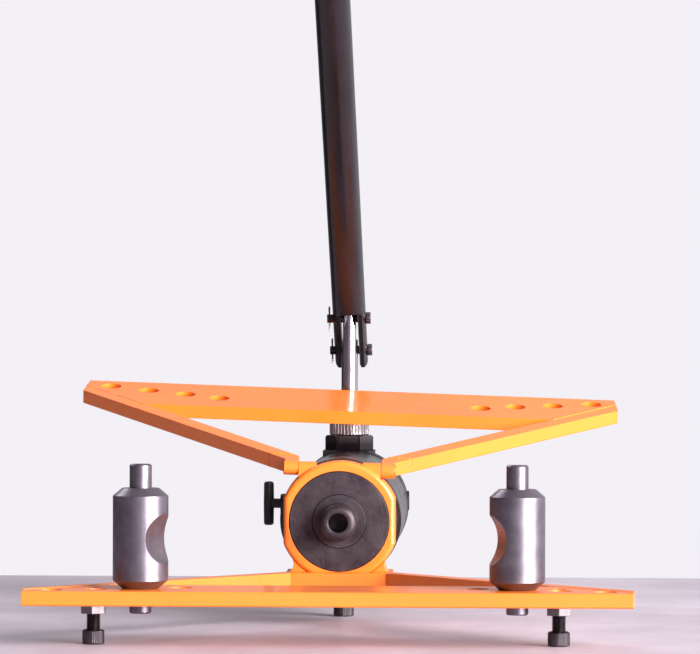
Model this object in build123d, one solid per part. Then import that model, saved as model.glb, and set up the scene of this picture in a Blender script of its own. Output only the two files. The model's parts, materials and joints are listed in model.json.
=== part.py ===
from build123d import *
import os
from math import cos, hypot, radians, sin

# Hydraulic tube bender: a lower wing frame carries a horizontal ram, and a second wing hinges over it.
# Millimetres. Z is up from the table, X is 0 on the middle plane. While it is modelled, Y is counted
# back from the lower wing's front edge; write() moves the part so that its origin is under its middle.

OVERALL_DEPTH = 592.2        # front edge of the lower wing to the back of the lever's yoke

# Wing frames: a crossbar, two struts and a hub or two hinge arms, all cut from flat plate
PLATE = 12.0                 # plate thickness
WING_HALF = 247.0            # widest half width, at the splayed corners
FRONT_HALF = 244.5           # half width at the front edge
CORNER_Y = 40.0              # where the struts' outer edges begin
SHOULDER = (46.0, 258.0)     # where the struts' outer edges end
CROSSBAR_DEPTH = 82.0
STRUT_WIDTH = 16.0
STRUT_END_Y = 240.0
HUB_BACK_Y = 300.0
LOWER_Z = 34.0               # underside of the lower wing
UPPER_Z = 128.2              # underside of the upper wing when it is closed
ROLLER_HOLES = ((120.5, 50.0), (152.3, 40.0), (187.0, 31.0), (223.0, 20.0))
ROLLER_HOLE_R = 9.25
EDGE_EASE = 1.0

# Upper wing hinge. Its axis dips a little to the right, as the worn hinge does.
HINGE_Y, HINGE_Z = 264.0, 134.2
HINGE_DIP = 1.04             # degrees
OPEN_ANGLE = 167.1           # degrees from closed to resting open on the barrel side
HINGE_PIN_R = 5.0
KNUCKLE_R, LUG_START = 6.6, 20.0
PIN_START = 22.0             # where the stub pins begin, clear of the cylinder gland
ARM_IN, ARM_OUT = 36.0, 48.0
RUNNING_GAP = 0.05

# Rollers
ROLLER_R, ROLLER_FACE_R, ROLLER_CHAMFER = 22.5, 15.0, 6.3
ROLLER_LOW, ROLLER_HIGH = 46.3, 127.3
ROLLER_PIN_R, ROLLER_PIN_LOW, ROLLER_PIN_HIGH = 9.0, 25.9, 146.7
SADDLE_R, SADDLE_DEPTH, SADDLE_Z = 26.0, 10.0, 86.3
SADDLE_TURN = {"left": 71.0, "right": 79.0}   # degrees from facing the front

# Ram, collar and barrel, all on one line
RAM_Z = 89.8
RING_R, RING_FLAT, RING_BORE = 52.0, 48.2, 43.6
RING_FRONT, RING_BACK = 254.0, 290.0
RIM_ROUND = 4.0
RAM_R, NOSE_R, NOSE_FRONT = 23.5, 16.0, 225.0
SOCKET_R, SOCKET_DEPTH = 8.15, 24.0
CYLINDER_R, CYLINDER_WALL = 25.05, 5.0
BARREL_R, BARREL_WALL = 53.0, 3.5
HEAD_FRONT, HEAD_BACK, HEAD_R = 524.0, 568.0, 53.6
PISTON_Y, PISTON_LENGTH = 482.0, 20.0
RAM_HOLLOW_R = 13.0
SPRING_R, SPRING_WIRE_R, SPRING_PITCH = 9.5, 1.25, 11.7

# Hand pump on the rear head
PUMP_X, PUMP_Y = -2.0, 546.0
BLOCK_LEFT, BLOCK_RIGHT, BLOCK_TOP = -26.0, 22.0, 142.2
PLUNGER_R, PLUNGER_LOW = 7.5, 122.0
NUT_ACROSS, NUT_TOP = 39.0, 156.3
KNURL_R, KNURL_TOP = 18.5, 178.0
PIN_R = 4.0
FULCRUM = (576.0, 236.0)     # lower pin of the lever: link's top end
PLUNGER_PIN = (546.0, 266.0)
LINK_FOOT = (576.0, 150.0)
YOKE_GAP, YOKE_HALF = 8.0, 12.9
LINK_HALF, LUG_WALL, LUG_R = 6.6, 6.4, 14.0
UPPER_PIN_ENDS = (-23.0, 13.6)
LOWER_PIN_ENDS = (-22.0, 13.6)
SPLIT_INSET = 2.2
LEVER_TILT = 45.0            # degrees forward
LEVER_LEAN = 1.1             # degrees to the left, from the play in its fork
LEVER_R, LEVER_WALL = 15.5, 2.5
LEVER_LENGTH = 640.0
GRIP_LENGTH, GRIP_R = 120.0, 18.5

# Release valve, filler plug and feet
VALVE_Z = 92.0
STEM_R, BAR_LOW, BAR_HIGH, BAR_X = 4.5, 71.7, 112.7, -77.5
BAR_R, BAR_TIP_R = 4.9, 4.6
PLUG_FACE = 54.4
FRONT_FEET, FRONT_FOOT_Y = (-191.5, 186.0), 50.0
REAR_FOOT_Y = 363.0
FOOT_HEAD_R, FOOT_HEAD_H, FOOT_R = 9.0, 12.0, 5.95
FOOT_NUT_ACROSS = 19.0
THREAD_GAP = 0.1
STANDING = (Align.CENTER, Align.CENTER, Align.MIN)


def cylinder_x(r, x0, x1, y, z):
    return Location((x0, y, z), (0, 90, 0)) * Cylinder(r, x1 - x0, align=STANDING)


def cylinder_y(r, y0, y1, x=0.0, z=RAM_Z):
    return Location((x, y0, z), (-90, 0, 0)) * Cylinder(r, y1 - y0, align=STANDING)


def cylinder_z(r, z0, z1, x=0.0, y=0.0):
    return Pos(x, y, z0) * Cylinder(r, z1 - z0, align=STANDING)


def tube_y(outer, inner, y0, y1):
    return cylinder_y(outer, y0, y1) - cylinder_y(inner, y0 - 1, y1 + 1)


def block(x0, x1, y0, y1, z0, z1):
    return Pos((x0 + x1) / 2, (y0 + y1) / 2, (z0 + z1) / 2) * Box(x1 - x0, y1 - y0, z1 - z0)


def plate(points, z0, thickness=PLATE):
    return Pos(0, 0, z0) * extrude(make_face(Polyline(*points, close=True)), thickness)


def mirrored(shape):
    return shape.mirror(Plane.YZ)


def hex_z(across, z0, z1, x, y, turn=0.0):
    sketch = Location((x, y, z0), (0, 0, turn)) * RegularPolygon(across / 2, 6, major_radius=False)
    return extrude(sketch, z1 - z0)


def write(name, shape):
    moved = Pos(0, -OVERALL_DEPTH / 2, 0) * shape
    export_step(moved, f"parts/{name}.step")


# ---- wing frames ----

def strut_frame():
    """Unit vector along the right strut's outer edge, and the inward normal."""
    dx, dy = SHOULDER[0] - WING_HALF, SHOULDER[1] - CORNER_Y
    length = hypot(dx, dy)
    along = (dx / length, dy / length)
    return along, (-along[1], along[0])


def strut_edge(y, inset):
    """X of a line parallel to the right strut's outer edge, inset from it, at depth y."""
    along, inward = strut_frame()
    x0 = WING_HALF + inset * inward[0]
    y0 = CORNER_Y + inset * inward[1]
    return x0 + along[0] / along[1] * (y - y0)


def wing_blank(z0):
    points = [(FRONT_HALF, 0), (WING_HALF, CORNER_Y), SHOULDER, (SHOULDER[0], HUB_BACK_Y)]
    return plate(points + [(-x, y) for x, y in reversed(points)], z0)


def strut_band(z0):
    """The right strut's strip of plate, longer than the strut at both ends."""
    front, back = -60.0, HUB_BACK_Y
    outer = [(strut_edge(y, -40.0), y) for y in (front, back)]
    inner = [(strut_edge(y, STRUT_WIDTH), y) for y in (back, front)]
    return plate(outer + inner, z0)


def depth_slab(y0, y1, z0):
    return block(-WING_HALF - 5, WING_HALF + 5, y0, y1, z0 - 1, z0 + PLATE + 1)


def crossbar(z0):
    bar = wing_blank(z0) & depth_slab(-1, CROSSBAR_DEPTH, z0)
    bar = bar - strut_band(z0) - mirrored(strut_band(z0))
    for x, y in ROLLER_HOLES:
        for side in (-x, x):
            bar = bar - cylinder_z(ROLLER_HOLE_R, z0 - 1, z0 + PLATE + 1, side, y)
    return ease_front(bar)


def ease_front(bar):
    """Break the long front edges, top and bottom."""
    front = bar.edges().filter_by(Axis.X).filter_by(lambda e: abs(e.center().Y) < 0.1)
    return chamfer(front, EDGE_EASE)


def strut(z0):
    return wing_blank(z0) & strut_band(z0) & depth_slab(-1, STRUT_END_Y, z0)


def lower_crossbar():
    bar = crossbar(LOWER_Z)
    for x in FRONT_FEET:
        bar = bar - cylinder_z(FOOT_R + THREAD_GAP, LOWER_Z - 1, LOWER_Z + PLATE + 1, x, FRONT_FOOT_Y)
    return bar


def lower_hub():
    hub = wing_blank(LOWER_Z) & depth_slab(STRUT_END_Y, HUB_BACK_Y, LOWER_Z)
    hub = hub - cylinder_y(RING_R + 0.05, RING_FRONT, RING_BACK + 1)
    return hub - cylinder_y(HEAD_R, RING_BACK, HUB_BACK_Y + 1)


def collar_welds():
    """Concave weld fillets between the hub's top face and the ring's flanks."""
    top = LOWER_Z + PLATE
    sketch = make_face([
        Line((24, top), (42.5, top)),
        ThreePointArc((42.5, top), (39.6, top + 5.2), (41.6, top + 13.0)),
        Line((41.6, top + 13.0), (24, top)),
    ])
    bead = Pos(0, RING_FRONT + 2, 0) * (Plane.XZ * sketch)
    bead = extrude(bead, RING_BACK - RING_FRONT - 2.5, dir=(0, 1, 0))
    bead = bead - cylinder_y(RING_R + 0.05, RING_FRONT - 1, RING_BACK + 1)
    return bead + mirrored(bead)


def hinge_axis():
    return Axis((0, HINGE_Y, HINGE_Z), (cos(radians(HINGE_DIP)), 0, -sin(radians(HINGE_DIP))))


def hinge_rod(r, x0, x1):
    """A cylinder on the hinge axis between two distances along it."""
    rod = cylinder_x(r, x0, x1, HINGE_Y, HINGE_Z)
    return rod.rotate(Axis((0, HINGE_Y, HINGE_Z), (0, 1, 0)), HINGE_DIP)


def collar_ring():
    ring = tube_y(RING_R, RING_BORE, RING_FRONT, RING_BACK)
    ring = ring & block(-RING_FLAT, RING_FLAT, RING_FRONT - 1, RING_BACK + 1, 0, 200)
    rim = ring.edges().group_by(Axis.Y)[0].filter_by(lambda edge: edge.length < 6 * RING_BORE)
    ring = fillet(rim, RIM_ROUND)
    lug_half = ARM_IN - 0.5
    for x0, x1 in ((-lug_half, -LUG_START), (LUG_START, lug_half)):
        ring = ring + hinge_rod(KNUCKLE_R, x0, x1)
        ring = ring + block(x0, x1, HINGE_Y - KNUCKLE_R, HINGE_Y + KNUCKLE_R, HINGE_Z - 12, HINGE_Z)
    ring = ring - cylinder_y(RING_BORE, RING_FRONT - 1, RING_BACK + 1)
    pocket = block(lug_half, 60, RING_FRONT - 1, RING_BACK + 1, HINGE_Z - 8.3, 200)
    ring = ring - pocket - mirrored(pocket)
    return ring - hinge_rod(HINGE_PIN_R, -ARM_OUT, -PIN_START) - hinge_rod(HINGE_PIN_R, PIN_START, ARM_OUT)


def hinge_pins():
    outer = ARM_OUT + 0.5
    return hinge_rod(HINGE_PIN_R, -outer, -PIN_START) + hinge_rod(HINGE_PIN_R, PIN_START, outer)


def upper_arm():
    """Right hinge arm: from the strut's end to a rounded eye around the hinge pin."""
    outer_end = strut_edge(STRUT_END_Y, 0)
    inner_end = strut_edge(STRUT_END_Y, STRUT_WIDTH)
    points = [(inner_end, STRUT_END_Y), (outer_end, STRUT_END_Y), (ARM_OUT, HINGE_Y - 8),
              (ARM_OUT, HINGE_Y), (ARM_IN, HINGE_Y), (ARM_IN, STRUT_END_Y + 6)]
    return plate(points, UPPER_Z) + cylinder_x(PLATE / 2, ARM_IN, ARM_OUT, HINGE_Y, HINGE_Z)


def arm_bore():
    return hinge_rod(HINGE_PIN_R + RUNNING_GAP, -ARM_OUT - 5, ARM_OUT + 5)


def opened(shape):
    """Swing a piece of the closed upper wing to its open rest."""
    return shape.rotate(hinge_axis(), -OPEN_ANGLE)


# ---- ram and barrel ----

def cylinder_gland():
    gland = cylinder_y(RING_BORE - 0.1, RING_FRONT + 0.2, RING_BACK + 0.2)
    gland = chamfer(gland.edges().group_by(Axis.Y)[0], 0.8)
    gland = gland + cylinder_y(BARREL_R - BARREL_WALL - 0.1, RING_BACK + 0.2, RING_BACK + 12)
    gland = gland - cylinder_y(RAM_R + 0.1, RING_FRONT, RING_BACK + 20)
    gland = gland - cylinder_y(28.0, 259.0, 264.0) - cylinder_y(28.5, 274.0, 282.0)
    return gland - cylinder_y(CYLINDER_R + CYLINDER_WALL + 0.05, RING_BACK + 4, RING_BACK + 20)


def ram():
    nose = cylinder_y(NOSE_R, NOSE_FRONT, RING_FRONT + 1)
    nose = fillet(nose.edges().group_by(Axis.Y)[0], 5.5)
    rod = cylinder_y(RAM_R, RING_FRONT + 0.4, PISTON_Y)
    rod = chamfer(rod.edges().group_by(Axis.Y)[0], 0.6)
    rod = rod + nose - cylinder_y(SOCKET_R, NOSE_FRONT - 1, NOSE_FRONT + SOCKET_DEPTH)
    mouth = rod.edges().filter_by(GeomType.CIRCLE).filter_by(
        lambda e: abs(e.radius - SOCKET_R) < 0.01 and e.center().Y < NOSE_FRONT + 1)
    rod = chamfer(mouth, 0.8)
    return rod - cylinder_y(RAM_HOLLOW_R, 290.0, PISTON_Y + 1)


def piston():
    body = tube_y(CYLINDER_R - 0.15, RAM_HOLLOW_R, PISTON_Y, PISTON_Y + PISTON_LENGTH)
    return body - tube_y(40.0, 21.0, PISTON_Y + 7, PISTON_Y + 13)


def return_spring():
    """Pulls the ram back: hooked to the ram's front end and to the rear head."""
    start, end = 291.0, HEAD_FRONT - 1.0
    inset = SPRING_WIRE_R + 0.2
    path = Helix(pitch=SPRING_PITCH, height=end - start - 2 * inset, radius=SPRING_R)
    coil = sweep(Plane(path @ 0, z_dir=path % 0) * Circle(SPRING_WIRE_R), path, is_frenet=True)
    return Location((0, start + inset, RAM_Z), (-90, 0, 0)) * coil


def rear_head():
    head = cylinder_y(HEAD_R, HEAD_FRONT, HEAD_BACK)
    head = chamfer(head.edges().group_by(Axis.Y)[-1], 2.5)
    pump = block(BLOCK_LEFT, BLOCK_RIGHT, HEAD_FRONT, HEAD_BACK, RAM_Z, BLOCK_TOP)
    corner = pump.edges().filter_by(Axis.Z).sort_by(Axis.Y)[:2].sort_by(Axis.X)[-1:]
    head = head + chamfer(corner, 6.0) - block(-60, 60, HEAD_FRONT - 1, HEAD_BACK + 1, BLOCK_TOP, 200)
    head = head + link_lugs()
    for passage in head_passages():
        head = head - passage
    return head - cylinder_y(CYLINDER_R + CYLINDER_WALL + 0.05, HEAD_FRONT - 1, HEAD_FRONT + 4)


def link_lugs():
    """Two ears behind the pump block that hold the link's foot pin."""
    y, z = LINK_FOOT
    inner, outer = LINK_HALF + 0.4, LINK_HALF + LUG_WALL
    left, right = PUMP_X - outer, PUMP_X + outer
    ears = block(left, right, HEAD_BACK - 2, y + LUG_R, z - 30, z) + cylinder_x(LUG_R, left, right, y, z)
    ears = ears & block(left, right, HEAD_BACK - 2, y + LUG_R, 0, 200)
    ears = ears - block(PUMP_X - inner, PUMP_X + inner, HEAD_BACK, y + LUG_R + 1, z - 16, 200)
    ears = ears - block(left - 1, right + 1, HEAD_BACK - 10, HEAD_BACK, BLOCK_TOP, 200)
    return ears - cylinder_x(PIN_R, left - 1, right + 1, y, z)


def head_passages():
    """Pump bore, valve bores and oil ways inside the rear head."""
    pump = cylinder_z(PLUNGER_R + RUNNING_GAP, 97, BLOCK_TOP + 1, PUMP_X, PUMP_Y)
    nut_seat = cylinder_z(13.05, BLOCK_TOP - 10, BLOCK_TOP + 1, PUMP_X, PUMP_Y)
    inlet = cylinder_z(3.2, 52, 98, PUMP_X, PUMP_Y) + cylinder_y(3.0, HEAD_FRONT - 1, PUMP_Y, PUMP_X, 52)
    outlet = cylinder_y(3.2, HEAD_FRONT - 1, PUMP_Y, PUMP_X, 101)
    valve = cylinder_x(STEM_R + RUNNING_GAP, -70, -27, PUMP_Y, VALVE_Z)
    valve = valve + cylinder_x(9.05, -70, -46, PUMP_Y, VALVE_Z)
    drain = cylinder_x(2.0, -28, -16, PUMP_Y, VALVE_Z)
    drain = drain + cylinder_y(2.0, HEAD_FRONT - 1, PUMP_Y, -16, VALVE_Z)
    filler = cylinder_x(5.05, 34, 60, PUMP_Y, VALVE_Z + 3) + cylinder_x(9.05, 47.5, 60, PUMP_Y, VALVE_Z + 3)
    return pump, nut_seat, inlet, outlet, valve, drain, filler


def filler_plug():
    z = VALVE_Z + 3
    plug = cylinder_x(5.0, 36, 48, PUMP_Y, z) + cylinder_x(9.0, 47.6, PLUG_FACE, PUMP_Y, z)
    socket = Location((PLUG_FACE - 4, PUMP_Y, z), (0, 90, 0))
    return plug - extrude(socket * RegularPolygon(3.0, 6, major_radius=False), 5)


def valve_boss():
    boss = cylinder_x(9.0, -66.5, -46.2, PUMP_Y, VALVE_Z)
    boss = chamfer(boss.edges().group_by(Axis.X)[0], 1.0)
    return boss - cylinder_x(STEM_R + RUNNING_GAP, -70, -40, PUMP_Y, VALVE_Z)


def release_spindle():
    return cylinder_x(STEM_R, BAR_X - 1, -31.0, PUMP_Y, VALVE_Z)


def release_bar():
    """Slightly tapered cross bar of the T handle."""
    half = (BAR_HIGH - BAR_LOW) / 2
    upper = Pos(BAR_X, PUMP_Y, VALVE_Z) * Cone(BAR_R, BAR_TIP_R, half, align=STANDING)
    upper = fillet(upper.edges().group_by(Axis.Z)[-1], 2.4)
    bar = upper + upper.mirror(Plane.XY.offset(VALVE_Z))
    return bar - cylinder_x(STEM_R, BAR_X - 1, BAR_X + 10, PUMP_Y, VALVE_Z)


def check_balls():
    """Inlet, outlet and release balls on their seats."""
    inlet = Pos(PUMP_X, PUMP_Y, 88) * Sphere(3.0)
    outlet = Pos(PUMP_X, 532, 101) * Sphere(3.0)
    release = Pos(-29.0, PUMP_Y, VALVE_Z) * Sphere(1.9)
    return inlet + outlet + release


# ---- hand pump, lever and link ----

def pump_gland_nut():
    nut = hex_z(NUT_ACROSS, BLOCK_TOP + 0.1, NUT_TOP, PUMP_X, PUMP_Y)
    rounding = Cone(NUT_ACROSS / 2 + 42, NUT_ACROSS / 2 + 1.4, 40, align=STANDING)
    rounding = Pos(PUMP_X, PUMP_Y, NUT_TOP - 40) * rounding
    nut = (nut & rounding) + cylinder_z(13.0, BLOCK_TOP - 9.5, BLOCK_TOP + 1, PUMP_X, PUMP_Y)
    nut = nut - cylinder_z(10.5, NUT_TOP - 7, NUT_TOP + 1, PUMP_X, PUMP_Y)
    return nut - cylinder_z(PLUNGER_R + RUNNING_GAP, 100, 200, PUMP_X, PUMP_Y)


def plunger_seal():
    seal = cylinder_z(10.4, NUT_TOP - 6.9, NUT_TOP - 0.5, PUMP_X, PUMP_Y)
    return seal - cylinder_z(PLUNGER_R + RUNNING_GAP, 100, 200, PUMP_X, PUMP_Y)


def knurled_ring():
    ring = cylinder_z(KNURL_R, NUT_TOP, KNURL_TOP, PUMP_X, PUMP_Y)
    ring = chamfer(ring.edges().group_by(Axis.Z)[-1] + ring.edges().group_by(Axis.Z)[0], 1.2)
    ring = ring - cylinder_z(PLUNGER_R + 0.15, 100, 200, PUMP_X, PUMP_Y)
    notch = cylinder_z(0.75, NUT_TOP - 1, KNURL_TOP + 1, PUMP_X + KNURL_R + 0.1, PUMP_Y)
    notches = [notch.rotate(Axis((PUMP_X, PUMP_Y, 0), (0, 0, 1)), turn * 10) for turn in range(36)]
    return ring - notches


def plunger():
    y, z = PLUNGER_PIN
    rod = cylinder_z(PLUNGER_R, PLUNGER_LOW, z + 9, PUMP_X, PUMP_Y)
    tang_low = 233.0
    for side in (-1, 1):
        x0, x1 = sorted((PUMP_X + side * 6.0, PUMP_X + side * 20))
        rod = rod - block(x0, x1, y - 20, y + 20, tang_low, 300)
    return rod - cylinder_x(PIN_R + 0.2, -20, 20, y, z)


def lever_place(distance):
    """A place on the lever's line, counted from the fulcrum pin, with Z along the lever."""
    step = distance / hypot(1, 1)
    return Location((PUMP_X, FULCRUM[0] - step, FULCRUM[1] + step), (LEVER_TILT, 0, 0))


def lever_rod(r, start, end):
    return lever_place(start) * Cylinder(r, end - start, align=STANDING)


def lever_bar(half_x, half_y, start, end):
    return lever_place(start) * Box(2 * half_x, 2 * half_y, end - start, align=(
        Align.CENTER, Align.CENTER, Align.MIN))


PIN_SPACING = hypot(PLUNGER_PIN[0] - FULCRUM[0], PLUNGER_PIN[1] - FULCRUM[1])
FORK_END = -14.0                   # the fork ends this far past the fulcrum pin
TUBE_END = PIN_SPACING + 20.0      # where the full tube begins
TUBE_TOP = PIN_SPACING + LEVER_LENGTH


def pin_holes():
    return cylinder_x(PIN_R, -30, 30, *FULCRUM) + cylinder_x(PIN_R, -30, 30, *PLUNGER_PIN)


def lever_yoke():
    """Fork inside the tube: a plug with two flat arms that reach down past both pins."""
    arms = lever_bar(YOKE_HALF, 11.0, FORK_END, TUBE_END)
    arms = chamfer(arms.edges().filter_by(Axis.X).sort_by(Axis.Z)[:2], 4.0)
    plug = lever_rod(LEVER_R - LEVER_WALL - 0.05, TUBE_END - 10, TUBE_END + 45)
    plug = plug - lever_bar(30.0, 30.0, TUBE_END - 11, TUBE_END)
    yoke = arms + plug - lever_bar(YOKE_GAP, 30.0, -30.0, TUBE_END - 2)
    inside = lever_rod(LEVER_R - LEVER_WALL - 0.05, FORK_END - 1, TUBE_END + 46)
    return (yoke & inside) - pin_holes()


def lever_tube():
    """Tube whose lower end is cut away front and back, leaving an ear outside each arm of the fork."""
    tube = lever_rod(LEVER_R, FORK_END, TUBE_TOP)
    tube = tube - lever_rod(LEVER_R - LEVER_WALL, FORK_END - 1, TUBE_TOP + 1)
    ear_half, arch_r = 9.5, 7.0
    for side in (-1, 1):
        gap = lever_place(FORK_END - 1) * Pos(0, side * (ear_half + 20), 0) * Box(
            60, 40, TUBE_END - FORK_END - 7, align=STANDING)
        arch = lever_place(TUBE_END - 8) * Pos(0, side * (ear_half + arch_r), 0) * Rot(0, 90, 0)
        tube = tube - gap - arch * Cylinder(arch_r, 60)
    return tube - pin_holes()


def lever_grip():
    start = TUBE_TOP - GRIP_LENGTH
    grip = lever_rod(GRIP_R, start, TUBE_TOP + 5)
    grip = fillet(grip.edges().sort_by(Axis.Z)[-1], 5.0)
    for ring in range(7):
        at = start + 14 + ring * 14
        grip = grip - (lever_rod(GRIP_R + 5, at, at + 4) - lever_rod(GRIP_R - 1.0, at - 1, at + 5))
    return grip - lever_rod(LEVER_R + 0.05, start - 1, TUBE_TOP + 0.05)


def leaned(shape):
    """Lean a piece of the lever a little to the left about the plunger pin."""
    return shape.rotate(Axis((PUMP_X, *PLUNGER_PIN), (0, 1, 0)), -LEVER_LEAN)


def headed_pin(y, z, left, shoulder):
    """A pin along X with a head on the right and a split-pin hole near its left end."""
    pin = cylinder_x(PIN_R, left, shoulder, y, z) + cylinder_x(5.5, shoulder, shoulder + 4.2, y, z)
    return pin - cylinder_z(1.0, z - 10, z + 10, left + SPLIT_INSET, y)


def split_pin(y, z, left):
    """A split pin through a pin's end: two legs, slightly spread below, and an eye above."""
    x = left + SPLIT_INSET
    pin = cylinder_z(0.8, z - 12, z + 6, x, y)
    return pin + Location((x, y, z + 8.2), (0, 90, 0)) * Torus(2.6, 0.8)


def link():
    """Bar between the lugs and the lever's fulcrum pin. Its top eye is open wide around the pin."""
    (foot_y, foot_z), (top_y, top_z) = LINK_FOOT, FULCRUM
    bar = block(PUMP_X - LINK_HALF, PUMP_X + LINK_HALF, foot_y - 6, foot_y + 6, foot_z, top_z)
    left, right = PUMP_X - LINK_HALF, PUMP_X + LINK_HALF
    bar = bar + cylinder_x(7.6, left, right, foot_y, foot_z) + cylinder_x(10.0, left, right, top_y, top_z)
    bar = bar - cylinder_x(PIN_R + RUNNING_GAP, -30, 30, foot_y, foot_z)
    return bar - cylinder_x(6.0, -30, 30, top_y, top_z)


# ---- rollers and feet ----

def roller(side):
    sign = -1 if side == "left" else 1
    x, y = sign * ROLLER_HOLES[1][0], ROLLER_HOLES[1][1]
    profile = [(0, ROLLER_PIN_LOW), (ROLLER_PIN_R - 1, ROLLER_PIN_LOW),
               (ROLLER_PIN_R, ROLLER_PIN_LOW + 1), (ROLLER_PIN_R, ROLLER_LOW),
               (ROLLER_FACE_R, ROLLER_LOW), (ROLLER_R, ROLLER_LOW + ROLLER_CHAMFER),
               (ROLLER_R, ROLLER_HIGH - ROLLER_CHAMFER), (ROLLER_FACE_R, ROLLER_HIGH),
               (ROLLER_PIN_R, ROLLER_HIGH), (ROLLER_PIN_R, ROLLER_PIN_HIGH - 1.2),
               (ROLLER_PIN_R - 1.2, ROLLER_PIN_HIGH), (0, ROLLER_PIN_HIGH)]
    body = revolve(Plane.XZ * make_face(Polyline(*profile, close=True)), Axis.Z)
    turn = radians(SADDLE_TURN[side])
    facing = (-sign * sin(turn), -cos(turn))
    reach = ROLLER_R - SADDLE_DEPTH + SADDLE_R
    centre = (facing[0] * reach, facing[1] * reach, SADDLE_Z)
    saddle = Plane(origin=centre, z_dir=(-facing[1], facing[0], 0))
    return Pos(x, y, 0) * (body - saddle * Cylinder(SADDLE_R, 100))


def foot_screw(x, y, top):
    """Socket screw used head down as an adjustable foot."""
    head = cylinder_z(FOOT_HEAD_R, 0, FOOT_HEAD_H, x, y)
    head = chamfer(head.edges().group_by(Axis.Z)[-1], 1.0)
    return head + cylinder_z(FOOT_R, FOOT_HEAD_H, top, x, y) - hex_z(10.0, -1, 6, x, y)


def lock_nut(x, y, z0, z1, turn):
    return hex_z(FOOT_NUT_ACROSS, z0, z1, x, y, turn) - cylinder_z(FOOT_R + THREAD_GAP, z0 - 1, z1 + 1, x, y)


def lock_nuts():
    nuts = lock_nut(0, REAR_FOOT_Y, 18, 28, 30)
    for x in FRONT_FEET:
        nuts = nuts + lock_nut(x, FRONT_FOOT_Y, LOWER_Z - 9, LOWER_Z, 30)
    return nuts


def rear_foot_saddle():
    saddle = block(-22, 22, REAR_FOOT_Y - 18, REAR_FOOT_Y + 18, 28, 48)
    saddle = chamfer(saddle.edges().filter_by(Axis.Y).group_by(Axis.Z)[0], 3.0)
    saddle = saddle - cylinder_y(BARREL_R + 0.05, 300, 500)
    return saddle - cylinder_z(FOOT_R + THREAD_GAP, 27, 35, 0, REAR_FOOT_Y)


# ---- write every piece ----

def write_wings():
    write("lower_crossbar", lower_crossbar())
    write("lower_strut_right", strut(LOWER_Z))
    write("lower_strut_left", mirrored(strut(LOWER_Z)))
    write("lower_hub", lower_hub())
    write("upper_crossbar", opened(crossbar(UPPER_Z)))
    write("upper_strut_right", opened(strut(UPPER_Z)))
    write("upper_strut_left", opened(mirrored(strut(UPPER_Z))))
    write("upper_arm_right", opened(upper_arm() - arm_bore()))
    write("upper_arm_left", opened(mirrored(upper_arm()) - arm_bore()))


def write_cylinder():
    write("collar_ring", collar_ring())
    write("collar_welds", collar_welds())
    write("hinge_pins", hinge_pins())
    write("cylinder_gland", cylinder_gland())
    write("rod_wiper", tube_y(27.9, RAM_R + 0.05, 259.1, 263.9))
    write("rod_seal", tube_y(28.4, RAM_R + 0.05, 274.1, 281.9))
    outer = CYLINDER_R + CYLINDER_WALL
    write("cylinder_tube", tube_y(outer, CYLINDER_R, RING_BACK + 4.1, HEAD_FRONT + 3.9))
    write("reservoir_tube", tube_y(BARREL_R, BARREL_R - BARREL_WALL, RING_BACK + 0.2, HEAD_FRONT))
    write("rear_head", rear_head())
    write("ram", ram())
    write("piston", piston())
    write("piston_seal", tube_y(CYLINDER_R - 0.05, 21.1, PISTON_Y + 7.1, PISTON_Y + 12.9))
    write("return_spring", return_spring())
    write("filler_plug", filler_plug())
    write("valve_boss", valve_boss())
    write("release_spindle", release_spindle())
    write("release_bar", release_bar())
    write("check_balls", check_balls())


def write_pump():
    lug_outer = LINK_HALF + LUG_WALL + 1
    write("pump_gland_nut", pump_gland_nut())
    write("plunger_seal", plunger_seal())
    write("knurled_ring", knurled_ring())
    write("plunger", plunger())
    write("lever_yoke", leaned(lever_yoke()))
    write("lever_tube", leaned(lever_tube()))
    write("lever_grip", leaned(lever_grip()))
    write("plunger_pin", leaned(headed_pin(*PLUNGER_PIN, *UPPER_PIN_ENDS)))
    write("fulcrum_pin", leaned(headed_pin(*FULCRUM, *LOWER_PIN_ENDS)))
    pins = split_pin(*PLUNGER_PIN, UPPER_PIN_ENDS[0]) + split_pin(*FULCRUM, LOWER_PIN_ENDS[0])
    write("split_pins", leaned(pins))
    write("link", link())
    write("link_pin", cylinder_x(PIN_R, PUMP_X - lug_outer, PUMP_X + lug_outer, *LINK_FOOT))


def write_rollers_and_feet():
    left, right = FRONT_FEET
    write("roller_left", roller("left"))
    write("roller_right", roller("right"))
    write("foot_screw_front_left", foot_screw(left, FRONT_FOOT_Y, LOWER_Z + PLATE - 0.5))
    write("foot_screw_front_right", foot_screw(right, FRONT_FOOT_Y, LOWER_Z + PLATE - 0.5))
    write("foot_screw_rear", foot_screw(0, REAR_FOOT_Y, 34.5))
    write("lock_nuts", lock_nuts())
    write("rear_foot_saddle", rear_foot_saddle())


os.makedirs("parts", exist_ok=True)
write_wings()
write_cylinder()
write_pump()
write_rollers_and_feet()
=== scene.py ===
import json
import math

import bmesh
import bpy
from mathutils import Matrix, Vector


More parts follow.
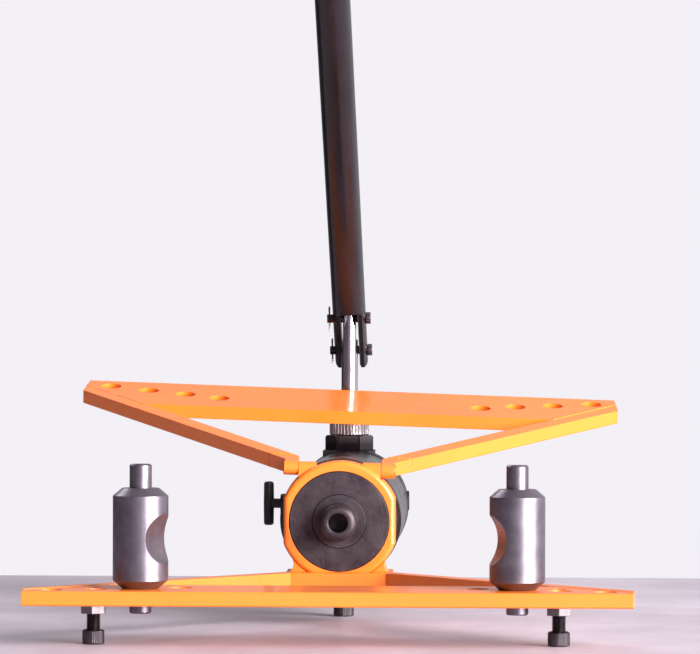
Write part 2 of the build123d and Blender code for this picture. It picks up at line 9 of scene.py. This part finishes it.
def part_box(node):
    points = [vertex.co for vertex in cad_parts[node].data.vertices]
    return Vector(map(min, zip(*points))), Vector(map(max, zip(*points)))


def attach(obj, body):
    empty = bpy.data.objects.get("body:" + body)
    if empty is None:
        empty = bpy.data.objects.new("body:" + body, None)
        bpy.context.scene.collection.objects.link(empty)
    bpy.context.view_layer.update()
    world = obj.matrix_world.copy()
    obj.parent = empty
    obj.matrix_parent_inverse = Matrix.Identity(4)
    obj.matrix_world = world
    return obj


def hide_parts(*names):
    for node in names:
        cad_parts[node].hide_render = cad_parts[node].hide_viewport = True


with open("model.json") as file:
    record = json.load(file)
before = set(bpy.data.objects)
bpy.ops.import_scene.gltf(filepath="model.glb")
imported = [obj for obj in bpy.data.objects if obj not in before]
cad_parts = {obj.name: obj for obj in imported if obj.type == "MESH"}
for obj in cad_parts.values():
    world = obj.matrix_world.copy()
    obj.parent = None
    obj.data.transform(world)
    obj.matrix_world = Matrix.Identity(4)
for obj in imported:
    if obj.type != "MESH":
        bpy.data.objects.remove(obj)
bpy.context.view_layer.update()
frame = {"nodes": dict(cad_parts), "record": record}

# Looks of the tube bender: materials, weld beads, foot screws, floor, light and camera.
# Everything is in metres, in the CAD model's own frame.

NODES = frame["nodes"]
MM = 0.001

# Camera
LENS = 197.2                 # on a 36 mm sensor
CAMERA_AHEAD = 3.0545        # in front of the lower wing's front edge
CAMERA_SIDE, CAMERA_HEIGHT = 0.1299, 0.2578
CAMERA_TURN, CAMERA_ROLL = 2.091, 0.12      # degrees

# Weld beads
BEAD_HALF, BEAD_HEIGHT = 1.6 * MM, 0.8 * MM
BEAD_STEP, BEAD_RIPPLE, BEAD_TAPER = 0.5 * MM, 1.9 * MM, 4.0 * MM
BEAD_SIDES = 10
BEAD_SAG = 0.16              # how much of its size a ripple loses before the next one
BEAD_TIP = 0.35              # size at its two ends, of its full size
BEAD_WANDER = ((0.25 * MM, 310.0), (0.15 * MM, 870.0))      # sideways waves: size, radians a metre

# Foot screws
SCREW_R, THREAD_PITCH, THREAD_DEPTH = 5.95 * MM, 1.75 * MM, 0.95 * MM
HEAD_HEIGHT, SOCKET_ACROSS, SOCKET_DEPTH = 12.0 * MM, 10.0 * MM, 6.0 * MM
KNURL_DEPTH, THREAD_END, RINGS_PER_PITCH = 0.28 * MM, 0.8 * MM, 10
SCREW_COLUMNS = 72

# Stage
TABLE_BACK = 0.90            # table's far edge behind the lower wing's front edge
TABLE_REACH = 9.0            # to both sides and to the front


# ---- node helpers ----

def new_material(name):
    """A material with its node tree and its Principled shader."""
    material = bpy.data.materials.new(name)
    material.use_nodes = True
    return material, material.node_tree, material.node_tree.nodes["Principled BSDF"]


def add(tree, kind, inputs=None, **settings):
    """A node whose inputs are links, where a socket is given, or plain values."""
    node = tree.nodes.new(kind)
    for key, value in settings.items():
        setattr(node, key, value)
    for key, value in (inputs or {}).items():
        if isinstance(value, bpy.types.NodeSocket):
            tree.links.new(value, node.inputs[key])
        else:
            node.inputs[key].default_value = value
    return node


def place(tree):
    return add(tree, "ShaderNodeTexCoord").outputs["Object"]


def noise(tree, vector, scale, detail=3.0, roughness=0.5):
    return add(tree, "ShaderNodeTexNoise", {"Vector": vector, "Scale": scale, "Detail": detail,
                                            "Roughness": roughness}).outputs["Fac"]


def stretched(tree, vector, scale):
    return add(tree, "ShaderNodeMapping", {"Vector": vector, "Scale": scale}).outputs["Vector"]


def spread(tree, value, low, high, to_low=0.0, to_high=1.0):
    """Maps low..high to to_low..to_high, clamped."""
    return add(tree, "ShaderNodeMapRange", {"Value": value, "From Min": low, "From Max": high,
                                            "To Min": to_low, "To Max": to_high}).outputs["Result"]


def math_node(tree, operation, a, b=0.0):
    return add(tree, "ShaderNodeMath", {0: a, 1: b}, operation=operation).outputs[0]


def mix_colour(tree, fac, a, b):
    node = add(tree, "ShaderNodeMix", {"Factor": fac}, data_type="RGBA")
    for socket, value in (("A_Color", a), ("B_Color", b)):
        target = next(s for s in node.inputs if s.identifier == socket)
        if isinstance(value, bpy.types.NodeSocket):
            tree.links.new(value, target)
        else:
            target.default_value = (*value, 1.0)
    return next(s for s in node.outputs if s.identifier == "Result_Color")


def bump(tree, height, distance, strength=1.0, normal=None):
    inputs = {"Height": height, "Distance": distance, "Strength": strength}
    if normal is not None:
        inputs["Normal"] = normal
    return add(tree, "ShaderNodeBump", inputs).outputs["Normal"]


def soft_edges(tree, radius):
    return add(tree, "ShaderNodeBevel", {"Radius": radius}, samples=4).outputs["Normal"]


def set_roughness(tree, shader, value, smooth, rough, low=0.3, high=0.7):
    tree.links.new(spread(tree, value, low, high, smooth, rough), shader.inputs["Roughness"])


def set_normal(tree, shader, normal):
    tree.links.new(normal, shader.inputs["Normal"])


def linear(red, green, blue):
    """sRGB 0..255 to linear."""
    def one(value):
        value /= 255.0
        return value / 12.92 if value <= 0.04045 else ((value + 0.055) / 1.055) ** 2.4
    return one(red), one(green), one(blue)


def pointy_edges(tree, low, high):
    """1 on sharp outer edges, from the mesh's pointiness."""
    pointy = add(tree, "ShaderNodeNewGeometry").outputs["Pointiness"]
    return spread(tree, pointy, low, high)


# ---- materials ----

def orange_enamel():
    """Thick orange enamel: a cloudy coat with orange peel, smears in its gloss and tiny chips."""
    material, tree, shader = new_material("orange_enamel")
    where = place(tree)
    cloudy = noise(tree, where, 9.0, 4.0)
    cloudy = spread(tree, cloudy, 0.35, 0.68)
    base = mix_colour(tree, cloudy, (0.88, 0.195, 0.020), (0.84, 0.174, 0.018))
    specks = spread(tree, noise(tree, where, 420.0, 2.0), 0.70, 0.76)
    chips = math_node(tree, "MULTIPLY", specks, spread(tree, noise(tree, where, 14.0), 0.5, 0.66))
    base = mix_colour(tree, math_node(tree, "MULTIPLY", chips, 0.75), base, linear(96, 46, 26))
    tree.links.new(base, shader.inputs["Base Color"])
    smears = noise(tree, stretched(tree, where, (14.0, 40.0, 40.0)), 1.0, 4.0, 0.6)
    set_roughness(tree, shader, smears, 0.28, 0.42, 0.3, 0.75)
    peel = noise(tree, where, 190.0, 2.0)
    rounded = soft_edges(tree, 0.0012)
    set_normal(tree, shader, bump(tree, peel, 0.00035, 0.22, rounded))
    shader.inputs["Coat Weight"].default_value = 0.30
    shader.inputs["Coat Roughness"].default_value = 0.07
    return material


def gloss_black():
    """Black enamel on the barrel: a cloudy film and a fine orange peel."""
    material, tree, shader = new_material("gloss_black")
    where = place(tree)
    film = noise(tree, where, 26.0, 5.0, 0.62)
    tone = mix_colour(tree, spread(tree, film, 0.35, 0.7), linear(20, 17, 21), linear(34, 28, 33))
    tree.links.new(tone, shader.inputs["Base Color"])
    set_roughness(tree, shader, film, 0.14, 0.30, 0.35, 0.72)
    rounded = soft_edges(tree, 0.0008)
    set_normal(tree, shader, bump(tree, noise(tree, where, 160.0, 2.0), 0.0003, 0.15, rounded))
    shader.inputs["Specular IOR Level"].default_value = 0.32
    return material


def matt_black():
    """Black paint over slightly rough castings: the rear head, its plug and the release valve."""
    material, tree, shader = new_material("matt_black")
    where = place(tree)
    cast = noise(tree, where, 300.0, 3.0)
    tone = mix_colour(tree, spread(tree, cast, 0.3, 0.7), linear(26, 23, 26), linear(40, 36, 40))
    tree.links.new(tone, shader.inputs["Base Color"])
    set_roughness(tree, shader, noise(tree, where, 40.0), 0.38, 0.55)
    rounded = soft_edges(tree, 0.0008)
    set_normal(tree, shader, bump(tree, cast, 0.0004, 0.35, rounded))
    return material


def turned(tree, where, centre, lines):
    """Fine rings about the ram's axis, as a lathe leaves them: varies with the radius alone."""
    from_axis = add(tree, "ShaderNodeVectorMath", {0: where, 1: (0.0, 0.0, centre)}, operation="SUBTRACT")
    parts = add(tree, "ShaderNodeSeparateXYZ", {0: from_axis.outputs[0]}).outputs
    across = math_node(tree, "MULTIPLY", parts[0], parts[0])
    upward = math_node(tree, "MULTIPLY", parts[2], parts[2])
    radius = math_node(tree, "SQRT", math_node(tree, "ADD", across, upward))
    return add(tree, "ShaderNodeTexNoise", {"W": radius, "Scale": lines, "Detail": 3.0},
               noise_dimensions="1D").outputs["Fac"]


def dark_steel():
    """Turned, oiled steel of the gland disc and ram: rings, blotches and a few bright scratches."""
    material, tree, shader = new_material("dark_steel")
    where = place(tree)
    low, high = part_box("ram")
    rings = turned(tree, where, (low.z + high.z) / 2, 900.0)
    blotch = noise(tree, where, 60.0, 5.0, 0.65)
    tone = mix_colour(tree, spread(tree, blotch, 0.35, 0.7), linear(58, 50, 56), linear(88, 78, 84))
    scratch = noise(tree, stretched(tree, where, (900.0, 60.0, 60.0)), 1.0, 2.0)
    scratch = spread(tree, scratch, 0.74, 0.80)
    tone = mix_colour(tree, math_node(tree, "MULTIPLY", scratch, 0.6), tone, linear(165, 155, 155))
    tree.links.new(tone, shader.inputs["Base Color"])
    shader.inputs["Metallic"].default_value = 0.85
    set_roughness(tree, shader, rings, 0.40, 0.58)
    rounded = soft_edges(tree, 0.0006)
    set_normal(tree, shader, bump(tree, rings, 0.00025, 0.5, rounded))
    return material


def black_oxide():
    """Blackened steel of screws, nuts and pins, worn paler on its edges."""
    material, tree, shader = new_material("black_oxide")
    where = place(tree)
    tone = mix_colour(tree, spread(tree, noise(tree, where, 90.0, 4.0), 0.35, 0.7),
                      linear(40, 34, 40), linear(60, 52, 60))
    worn = mix_colour(tree, pointy_edges(tree, 0.54, 0.62), tone, linear(110, 102, 106))
    tree.links.new(worn, shader.inputs["Base Color"])
    shader.inputs["Metallic"].default_value = 0.8
    set_roughness(tree, shader, noise(tree, where, 240.0), 0.16, 0.28)
    set_normal(tree, shader, soft_edges(tree, 0.0006))
    return material


def roller_steel():
    """Satin grey steel with fine lines turned round the upright axis."""
    material, tree, shader = new_material("roller_steel")
    where = place(tree)
    height = add(tree, "ShaderNodeSeparateXYZ", {0: where}).outputs[2]
    lines = add(tree, "ShaderNodeTexNoise", {"W": height, "Scale": 1500.0, "Detail": 3.0},
                noise_dimensions="1D").outputs["Fac"]
    grain = noise(tree, where, 700.0, 2.0, 0.6)
    tone = mix_colour(tree, spread(tree, noise(tree, where, 80.0, 5.0, 0.6), 0.35, 0.68),
                      linear(104, 97, 108), linear(124, 117, 128))
    tone = mix_colour(tree, spread(tree, grain, 0.62, 0.74, 0.0, 0.45), tone, linear(110, 100, 108))
    tree.links.new(tone, shader.inputs["Base Color"])
    shader.inputs["Metallic"].default_value = 0.9
    set_roughness(tree, shader, lines, 0.34, 0.40)
    rounded = bump(tree, lines, 0.00004, 0.25, soft_edges(tree, 0.0005))
    set_normal(tree, shader, bump(tree, grain, 0.00010, 0.5, rounded))
    return material


def chrome():
    """Plated plunger with a thin smear of oil along it."""
    material, tree, shader = new_material("chrome")
    where = place(tree)
    shader.inputs["Base Color"].default_value = (*linear(196, 188, 196), 1.0)
    shader.inputs["Metallic"].default_value = 1.0
    film = noise(tree, stretched(tree, where, (60.0, 60.0, 18.0)), 1.0, 4.0)
    set_roughness(tree, shader, film, 0.10, 0.22, 0.35, 0.7)
    return material


def bright_steel():
    """Oiled steel of the knurled ring and split pins: dull grimy grey, with a painted highlight on its
    sharp crests.
    """
    material, tree, shader = new_material("bright_steel")
    where = place(tree)
    # painted highlight: the sharp crests are painted pale, standing in for the glints along the knurl's
    # ridges
    crest_highlight = pointy_edges(tree, 0.50, 0.56)
    grime = spread(tree, noise(tree, where, 220.0, 3.0), 0.35, 0.65)
    dull = mix_colour(tree, grime, linear(58, 48, 54), linear(96, 84, 90))
    # the crests take the painted highlight's pale colour over the dull steel
    tree.links.new(mix_colour(tree, crest_highlight, dull, linear(176, 168, 170)), shader.inputs["Base Color"])
    shader.inputs["Metallic"].default_value = 0.95
    set_roughness(tree, shader, noise(tree, where, 150.0), 0.22, 0.40)
    set_normal(tree, shader, soft_edges(tree, 0.0004))
    return material


def lever_paint():
    """Black enamel with a faint warm cast and handling marks along the tube."""
    material, tree, shader = new_material("lever_paint")
    where = place(tree)
    along = stretched(tree, where, (50.0, 9.0, 9.0))
    marks = spread(tree, noise(tree, along, 1.0, 4.0), 0.35, 0.7)
    tone = mix_colour(tree, marks, linear(22, 18, 22), linear(34, 27, 31))
    tree.links.new(tone, shader.inputs["Base Color"])
    set_roughness(tree, shader, noise(tree, along, 2.0, 4.0), 0.16, 0.34)
    set_normal(tree, shader, bump(tree, noise(tree, where, 120.0), 0.0003, 0.15))
    shader.inputs["Specular IOR Level"].default_value = 0.35
    return material


def grip_rubber():
    """Moulded rubber with a fine grain and a little dust."""
    material, tree, shader = new_material("grip_rubber")
    where = place(tree)
    grain = noise(tree, where, 900.0, 2.0)
    dust = spread(tree, noise(tree, where, 45.0, 3.0), 0.3, 0.7)
    tone = mix_colour(tree, dust, linear(24, 24, 25), linear(38, 37, 38))
    tree.links.new(tone, shader.inputs["Base Color"])
    set_roughness(tree, shader, grain, 0.55, 0.72)
    set_normal(tree, shader, bump(tree, grain, 0.0002, 0.4))
    return material


def seal_rubber():
    """Oiled seal rings."""
    material, tree, shader = new_material("seal_rubber")
    where = place(tree)
    shader.inputs["Base Color"].default_value = (*linear(30, 30, 31), 1.0)
    set_roughness(tree, shader, noise(tree, where, 200.0), 0.40, 0.60)
    return material


def inner_steel():
    """Ground steel of the pieces inside the barrel."""
    material, tree, shader = new_material("inner_steel")
    where = place(tree)
    shader.inputs["Base Color"].default_value = (*linear(170, 168, 170), 1.0)
    shader.inputs["Metallic"].default_value = 1.0
    set_roughness(tree, shader, noise(tree, where, 120.0), 0.25, 0.42)
    return material


MAKERS = (orange_enamel, gloss_black, matt_black, dark_steel, black_oxide, roller_steel,
          chrome, bright_steel, lever_paint, grip_rubber, seal_rubber, inner_steel)
MATERIALS = {maker.__name__: maker() for maker in MAKERS}


def paint_frame():
    """Every CAD node gets the material of its slot."""
    for part in frame["record"]["subparts"]:
        mesh = NODES[part["node"]].data
        mesh.materials.clear()
        mesh.materials.append(MATERIALS[part["material_slot"]])


# ---- mesh pieces ----

def make_object(name, built, material_name, body, smooth_angle):
    """A mesh piece that rides on a body and takes its finish from a slot."""
    mesh = bpy.data.meshes.new(name)
    bmesh.ops.recalc_face_normals(built, faces=built.faces)
    built.to_mesh(mesh)
    built.free()
    mesh.materials.append(MATERIALS[material_name])
    mesh.shade_smooth()
    mesh.set_sharp_from_angle(angle=math.radians(smooth_angle))
    piece = bpy.data.objects.new(name, mesh)
    bpy.context.scene.collection.objects.link(piece)
    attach(piece, body)
    return piece


def shared_corners(first, second):
    """Corners that two plates have in common, as places in the frame."""
    others = [v.co for v in NODES[second].data.vertices]
    found = []
    for vertex in NODES[first].data.vertices:
        near = any((vertex.co - other).length < 0.03 * MM for other in others)
        if near and all((vertex.co - kept).length > 0.1 * MM for kept in found):
            found.append(vertex.co.copy())
    return found


def hingeward(normal, corner):
    """Direction in a wing plate's own plane that runs square to its crossbar, towards the hinge."""
    low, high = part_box("hinge_pins")
    inward = normal.cross(Vector((1.0, 0.0, 0.0))).normalized()
    return inward if ((low.y + high.y) / 2 - corner.y) * inward.y > 0 else -inward


def crossbar_seams(strut, crossbar):
    """A strut's seam with its crossbar on both faces of the plate, as (start, end, outward)."""
    first, second = shared_corners(strut, crossbar)
    seams = []
    for start, other in ((first, second), (second, first)):
        outward = (start - other).normalized()
        inward = hingeward(outward, start)
        face = [v.co for v in NODES[crossbar].data.vertices
                if abs((v.co - start).dot(outward)) < 0.05 * MM and v.co.x * start.x > 0]
        seams.append((start, max(face, key=lambda corner: corner.dot(inward)), outward))
    return seams


def arm_seams(strut, arm):
    """A strut's butt seam with its hinge arm, top and bottom."""
    corners = sorted(shared_corners(strut, arm), key=lambda corner: corner.z)
    lower, upper = corners[:2], corners[2:]
    outward = (sum(upper, Vector()) - sum(lower, Vector())).normalized()
    return [(*upper, outward), (*lower, -outward)]


def join_rings(built, rings):
    """Skins a list of equal rings and closes both ends."""
    for lower, upper in zip(rings, rings[1:]):
        for index in range(len(lower)):
            after = (index + 1) % len(lower)
            built.faces.new((lower[index], lower[after], upper[after], upper[index]))
    built.faces.new(rings[0][::-1])
    built.faces.new(rings[-1])


def add_bead(built, start, end, outward):
    """A rippled weld bead, half sunk in the plates, tapered at both ends."""
    along = (end - start).normalized()
    side = along.cross(outward)
    length = (end - start).length
    count = round(length / BEAD_STEP)
    rings = []
    for index in range(count + 1):
        travelled = index * length / count
        taper = min(1.0, BEAD_TIP + travelled / BEAD_TAPER, BEAD_TIP + (length - travelled) / BEAD_TAPER)
        size = (1.0 - BEAD_SAG * (travelled / BEAD_RIPPLE % 1.0)) * taper
        wander = sum(wave * math.sin(travelled * rate) for wave, rate in BEAD_WANDER)
        middle = start + along * travelled + side * wander
        ring = []
        for turn in range(BEAD_SIDES):
            angle = math.tau * turn / BEAD_SIDES
            across = side * math.cos(angle) * BEAD_HALF * size
            above = outward * math.sin(angle) * BEAD_HEIGHT * size
            ring.append(built.verts.new(middle + across + above))
        rings.append(ring)
    join_rings(built, rings)


def make_welds():
    """One piece of weld beads for each strut: its crossbar seams, and its arm seams on the upper wing."""
    for wing, body in (("lower", "frame"), ("upper", "upper_wing")):
        for hand in ("left", "right"):
            strut = f"{wing}_strut_{hand}"
            seams = crossbar_seams(strut, f"{wing}_crossbar")
            if wing == "upper":
                seams += arm_seams(strut, f"upper_arm_{hand}")
            built = bmesh.new()
            for start, end, outward in seams:
                add_bead(built, start, end, outward)
            make_object(f"{strut}_welds", built, "orange_enamel", body, 60.0)


def round_ring(radius):
    return lambda angle, column: radius


def socket_ring(angle, column):
    """The key socket's hexagon."""
    half_side_turn = math.radians(30)
    return SOCKET_ACROSS / 2 / math.cos(angle % (2 * half_side_turn) - half_side_turn)


def knurled_ring(radius):
    """A straight knurl: every other column is a groove."""
    return lambda angle, column: radius - KNURL_DEPTH * (column % 2)


def thread_ring(height):
    """A cut across a helical thread, whose crest climbs one pitch in a turn."""
    def radius(angle, column):
        phase = (height / THREAD_PITCH - angle / math.tau) % 1.0
        return SCREW_R - THREAD_DEPTH * abs(2.0 * phase - 1.0)
    return radius


def screw_profile(head_r, top):
    """Rings from the socket's floor, round the head and up the thread, as (radius function, height)."""
    profile = [(socket_ring, SOCKET_DEPTH),
               (socket_ring, 0.0),
               (round_ring(head_r - 0.9 * MM), 0.0),
               (knurled_ring(head_r), 0.9 * MM),
               (knurled_ring(head_r), HEAD_HEIGHT - 1.1 * MM),
               (round_ring(head_r - 0.8 * MM), HEAD_HEIGHT - 0.4 * MM),
               (round_ring(head_r - 1.4 * MM), HEAD_HEIGHT),
               (round_ring(SCREW_R - THREAD_DEPTH), HEAD_HEIGHT)]
    steps = round((top - HEAD_HEIGHT) / THREAD_PITCH * RINGS_PER_PITCH)
    for step in range(1, steps):
        height = HEAD_HEIGHT + (top - HEAD_HEIGHT - THREAD_END) * step / steps
        profile.append((thread_ring(height), height))
    profile.append((round_ring(SCREW_R - 1.2 * MM), top))
    return profile


def make_foot_screw(node, body):
    """Socket-head screw standing on its straight-knurled head, with a real thread."""
    low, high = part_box(node)
    middle = (low + high) / 2
    built = bmesh.new()
    rings = []
    for radius, height in screw_profile((high.x - low.x) / 2, high.z):
        ring = []
        for column in range(SCREW_COLUMNS):
            angle = math.tau * column / SCREW_COLUMNS
            reach = radius(angle, column)
            corner = (middle.x + reach * math.cos(angle), middle.y + reach * math.sin(angle), height)
            ring.append(built.verts.new(corner))
        rings.append(ring)
    join_rings(built, rings)
    screw = make_object(f"{node}_threaded", built, "black_oxide", body, 30.0)
    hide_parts(node)


paint_frame()
make_welds()
make_foot_screw("foot_screw_front_left", "foot_front_left")
make_foot_screw("foot_screw_front_right", "foot_front_right")
make_foot_screw("foot_screw_rear", "foot_rear")


# ---- stage, light and camera ----

def make_floor():
    """A pale, faintly clouded table top that ends a little behind the tool."""
    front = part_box("lower_crossbar")[0].y
    built = bmesh.new()
    near, far = front - TABLE_REACH, front + TABLE_BACK
    corners = [(-TABLE_REACH, near), (TABLE_REACH, near), (TABLE_REACH, far), (-TABLE_REACH, far)]
    built.faces.new([built.verts.new((x, y, 0.0)) for x, y in corners])
    mesh = bpy.data.meshes.new("floor")
    built.to_mesh(mesh)
    built.free()
    floor = bpy.data.objects.new("floor", mesh)
    bpy.context.scene.collection.objects.link(floor)
    material, tree, shader = new_material("floor")
    where = place(tree)
    tone = mix_colour(tree, spread(tree, noise(tree, where, 7.0, 6.0, 0.65), 0.35, 0.7),
                      linear(176, 166, 180), linear(200, 190, 204))
    tree.links.new(tone, shader.inputs["Base Color"])
    shader.inputs["Roughness"].default_value = 0.45
    shader.inputs["Specular IOR Level"].default_value = 0.3
    mesh.materials.append(material)


def make_world():
    """Pale surroundings that darken towards the left, so that faces turned that way go deep."""
    world = bpy.data.worlds.new("studio")
    world.use_nodes = True
    tree = world.node_tree
    background = tree.nodes["Background"]
    direction = add(tree, "ShaderNodeTexCoord").outputs["Generated"]
    towards_right = (0.95, 0.10, 0.12)
    side = add(tree, "ShaderNodeVectorMath", {0: direction, 1: towards_right}, operation="DOT_PRODUCT")
    level = spread(tree, side.outputs["Value"], -0.55, 0.80, 0.02, 0.90)
    seen = add(tree, "ShaderNodeLightPath").outputs["Is Camera Ray"]
    lit = mix_colour(tree, level, (0.02, 0.018, 0.02), (1.0, 0.98, 1.02))
    tree.links.new(mix_colour(tree, seen, lit, linear(243, 240, 246)), background.inputs["Color"])
    background.inputs["Strength"].default_value = 1.0
    bpy.context.scene.world = world


def area_light(name, place_at, aim, size, power, colour=(1.0, 1.0, 1.0)):
    data = bpy.data.lights.new(name, "AREA")
    data.shape = "RECTANGLE"
    data.size, data.size_y = size
    data.energy = power
    data.color = colour
    light = bpy.data.objects.new(name, data)
    light.location = place_at
    light.visible_camera = False
    light.rotation_euler = (Vector(aim) - Vector(place_at)).to_track_quat("-Z", "Y").to_euler()
    bpy.context.scene.collection.objects.link(light)


def make_lights():
    """A large soft key from the front right, and a weak light from behind on the left."""
    area_light("key", place_at=(3.9, -3.2, 1.45), aim=(0.0, -0.2, 0.2), size=(4.2, 2.9), power=1100.0,
               colour=(1.0, 0.97, 0.94))
    area_light("rear", place_at=(-2.4, 2.8, 3.4), aim=(0.0, 0.0, 0.1), size=(2.0, 1.5), power=50.0)


def make_camera():
    """Level camera in front of the tool, turned a little to the left."""
    data = bpy.data.cameras.new("camera")
    data.lens, data.sensor_width = LENS, 36.0
    camera = bpy.data.objects.new("camera", data)
    level = Matrix.Rotation(math.radians(90), 4, "X")
    roll = Matrix.Rotation(math.radians(CAMERA_ROLL), 4, "Z")
    turn = Matrix.Rotation(math.radians(CAMERA_TURN), 4, "Z") @ level @ roll
    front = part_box("lower_crossbar")[0].y
    camera.matrix_world = Matrix.Translation((CAMERA_SIDE, front - CAMERA_AHEAD, CAMERA_HEIGHT)) @ turn
    bpy.context.scene.collection.objects.link(camera)
    bpy.context.scene.camera = camera


make_floor()
make_world()
make_lights()
make_camera()
bpy.context.scene.view_settings.view_transform = "Standard"
